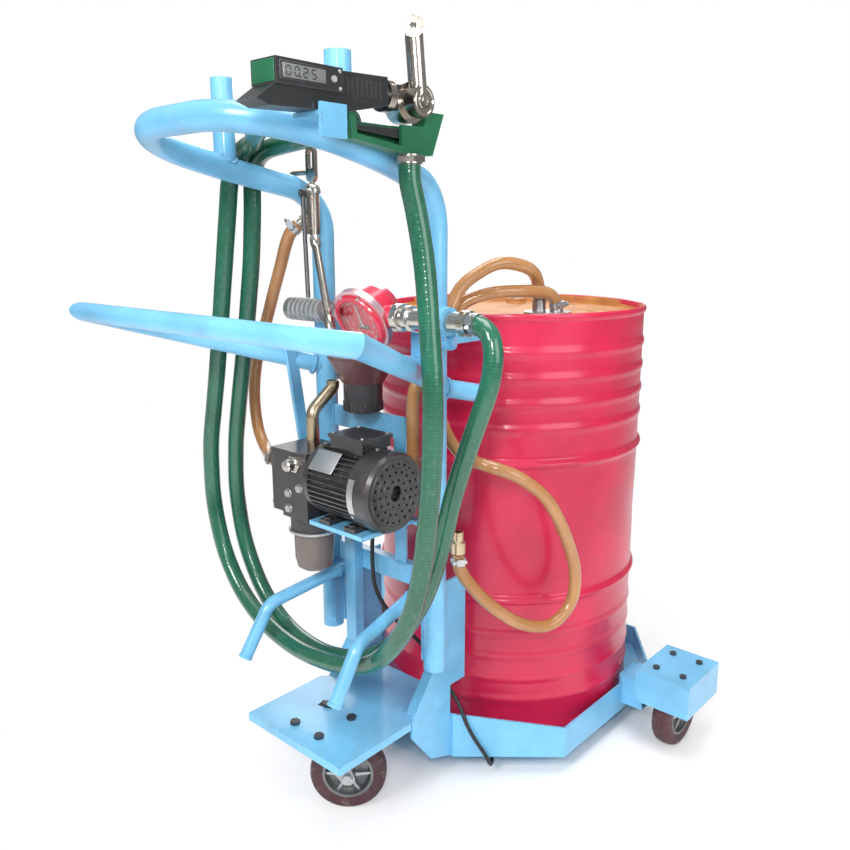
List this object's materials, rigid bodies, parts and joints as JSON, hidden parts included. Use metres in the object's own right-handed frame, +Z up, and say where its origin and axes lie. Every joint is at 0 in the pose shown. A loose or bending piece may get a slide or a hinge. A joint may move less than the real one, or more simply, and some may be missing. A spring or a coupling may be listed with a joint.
{
  "type": "oil drum dispensing trolley",
  "caption": "Drum trolley with an electric gear pump, flow meter, coiled hose, metering gun and hanging drain gun on a hooped tubular frame.",
  "frame": {"origin": "on the floor, under the axis of the drum", "axes": "+Z up; -Y toward the push handle and the operator; +X to the operator's right when facing the drum; the drum axis is Z"},
  "size_m": [0.946, 1.167, 1.3745],
  "materials": {
    "frame_blue": "semi-gloss",
    "bolt_zinc": "dull zinc",
    "drum_red": "gloss",
    "bung_zinc": "satin",
    "pipe_steel": "satin",
    "motor_black": "satin",
    "bearing_steel": "ground",
    "fan_plastic": "matt",
    "pump_iron": "painted black",
    "gear_steel": "ground",
    "bowl_clear": "smoked",
    "fitting_brass": "satin",
    "meter_red": "gloss",
    "meter_ring": "satin",
    "dial_white": "printed",
    "clear_glass": "clear",
    "pointer_black": "matt",
    "coupling_grey": "cast",
    "outlet_metal": "plated",
    "filter_bronze": "satin",
    "filter_dark": "satin",
    "hose_green": "gloss, braided",
    "hose_amber": "clear PVC filled with oil",
    "lead_black": "satin",
    "gun_black": "satin",
    "gun_chrome": "polished",
    "gun_display": "dark bezel",
    "gun_button": "matt",
    "gun_guard": "green",
    "gun_trigger": "black",
    "drain_chrome": "worn",
    "drain_lever": "dark",
    "caster_zinc": "zinc plated",
    "wheel_maroon": "polyurethane tread on a grey hub"
  },
  "bodies": {
    "trolley": {"cross_panel": "frame_blue", "delivery_hose": "hose_green", "drain_gun": "drain_chrome", "drain_gun_hose": "hose_amber", "drum_bungs": "bung_zinc", "drum_pipes": "pipe_steel", "drum_shell": "drum_red", "drum_top_head": "drum_red", "drum_tray": "frame_blue", "fan_cowl": "motor_black", "filter_canister": "filter_dark", "filter_head": "filter_bronze", "frame_bolts": "bolt_zinc", "front_caster_plate": "caster_zinc", "front_plate": "frame_blue", "gun_body": "gun_black", "gun_chrome_fittings": "gun_chrome", "gun_display": "gun_display", "gun_guard": "gun_guard", "hoop_frame": "frame_blue", "hoop_stub_tubes": "frame_blue", "hose_hooks": "frame_blue", "inlet_coupling": "coupling_grey", "lower_cross_frame": "frame_blue", "mains_lead": "lead_black", "meter_dial": "dial_white", "meter_flange_ring": "meter_ring", "meter_glass": "clear_glass", "meter_housing": "meter_red", "motor_bearings": "bearing_steel", "motor_end_shields": "motor_black", "motor_housing": "motor_black", "motor_shelf": "frame_blue", "neck_gussets": "frame_blue", "outlet_pipe": "outlet_metal", "post_brackets": "frame_blue", "pump_body": "pump_iron", "pump_cover": "pump_iron", "pump_fittings": "fitting_brass", "push_handle": "frame_blue", "return_hose": "hose_amber", "side_caster_boxes": "frame_blue", "side_caster_forks": "caster_zinc", "strainer_bowl": "bowl_clear", "suction_hose": "hose_amber", "terminal_box": "motor_black"},
    "rotor": {"rotor_shaft": "bearing_steel", "cooling_fan": "fan_plastic", "drive_gear": "gear_steel"},
    "idler": {"idler_gear": "gear_steel"},
    "front_caster_fork": {"front_fork": "caster_zinc"},
    "front_caster_wheel": {"front_wheel": "wheel_maroon"},
    "right_caster_wheel": {"right_wheel": "wheel_maroon"},
    "left_caster_wheel": {"left_wheel": "wheel_maroon"},
    "meter_hand": {"meter_pointer": "pointer_black"},
    "trigger": {"gun_trigger": "gun_trigger"},
    "reset_button": {"gun_button": "gun_button"},
    "swivel_spout": {"gun_spout": "gun_chrome"},
    "squeeze_lever": {"drain_gun_lever": "drain_lever"}
  },
  "joints": [
    {"name": "rotor_spin", "type": "hinge", "parent": "trolley", "child": "rotor", "pos_m": [0, -0.515, 0.647], "axis": [1, 0, 0], "continuous": true},
    {"name": "idler_spin", "type": "hinge", "parent": "trolley", "child": "idler", "pos_m": [-0.0985, -0.515, 0.605], "axis": [1, 0, 0], "continuous": true},
    {"name": "front_caster_swivel", "type": "hinge", "parent": "trolley", "child": "front_caster_fork", "pos_m": [0, -0.577, 0.16], "axis": [0, 0, 1], "continuous": true},
    {"name": "front_wheel_spin", "type": "hinge", "parent": "front_caster_fork", "child": "front_caster_wheel", "pos_m": [0.03419, -0.54622, 0.074], "axis": [-0.6691, 0.7431, 0], "continuous": true},
    {"name": "right_wheel_spin", "type": "hinge", "parent": "trolley", "child": "right_caster_wheel", "pos_m": [0.413, 0.0685, 0.074], "axis": [1, 0, 0], "continuous": true},
    {"name": "left_wheel_spin", "type": "hinge", "parent": "trolley", "child": "left_caster_wheel", "pos_m": [-0.413, 0.0685, 0.074], "axis": [1, 0, 0], "continuous": true},
    {"name": "meter_hand_turn", "type": "hinge", "parent": "trolley", "child": "meter_hand", "pos_m": [0.026, -0.462, 0.944], "axis": [0, -0.8829, -0.4695], "range_deg": [-350, 0]},
    {"name": "gun_trigger_pull", "type": "hinge", "parent": "trolley", "child": "trigger", "pos_m": [0.232, -0.594, 1.222], "axis": [-1, 0, 0], "range_deg": [0, 7]},
    {"name": "gun_button_press", "type": "slide", "parent": "trolley", "child": "reset_button", "axis": [-1, 0, 0], "range_m": [0, 0.0015]},
    {"name": "gun_spout_swivel", "type": "hinge", "parent": "trolley", "child": "swivel_spout", "pos_m": [0.2535, -0.58, 1.266], "axis": [1, 0, 0], "range_deg": [-30, 30]},
    {"name": "drain_gun_squeeze", "type": "hinge", "parent": "trolley", "child": "squeeze_lever", "pos_m": [-0.115, -0.488, 1.157], "axis": [0, -1, 0], "range_deg": [0, 6]}
  ],
  "couplings": [
    {"joint": "idler_spin", "follows": "rotor_spin", "ratio": -1}
  ]
}
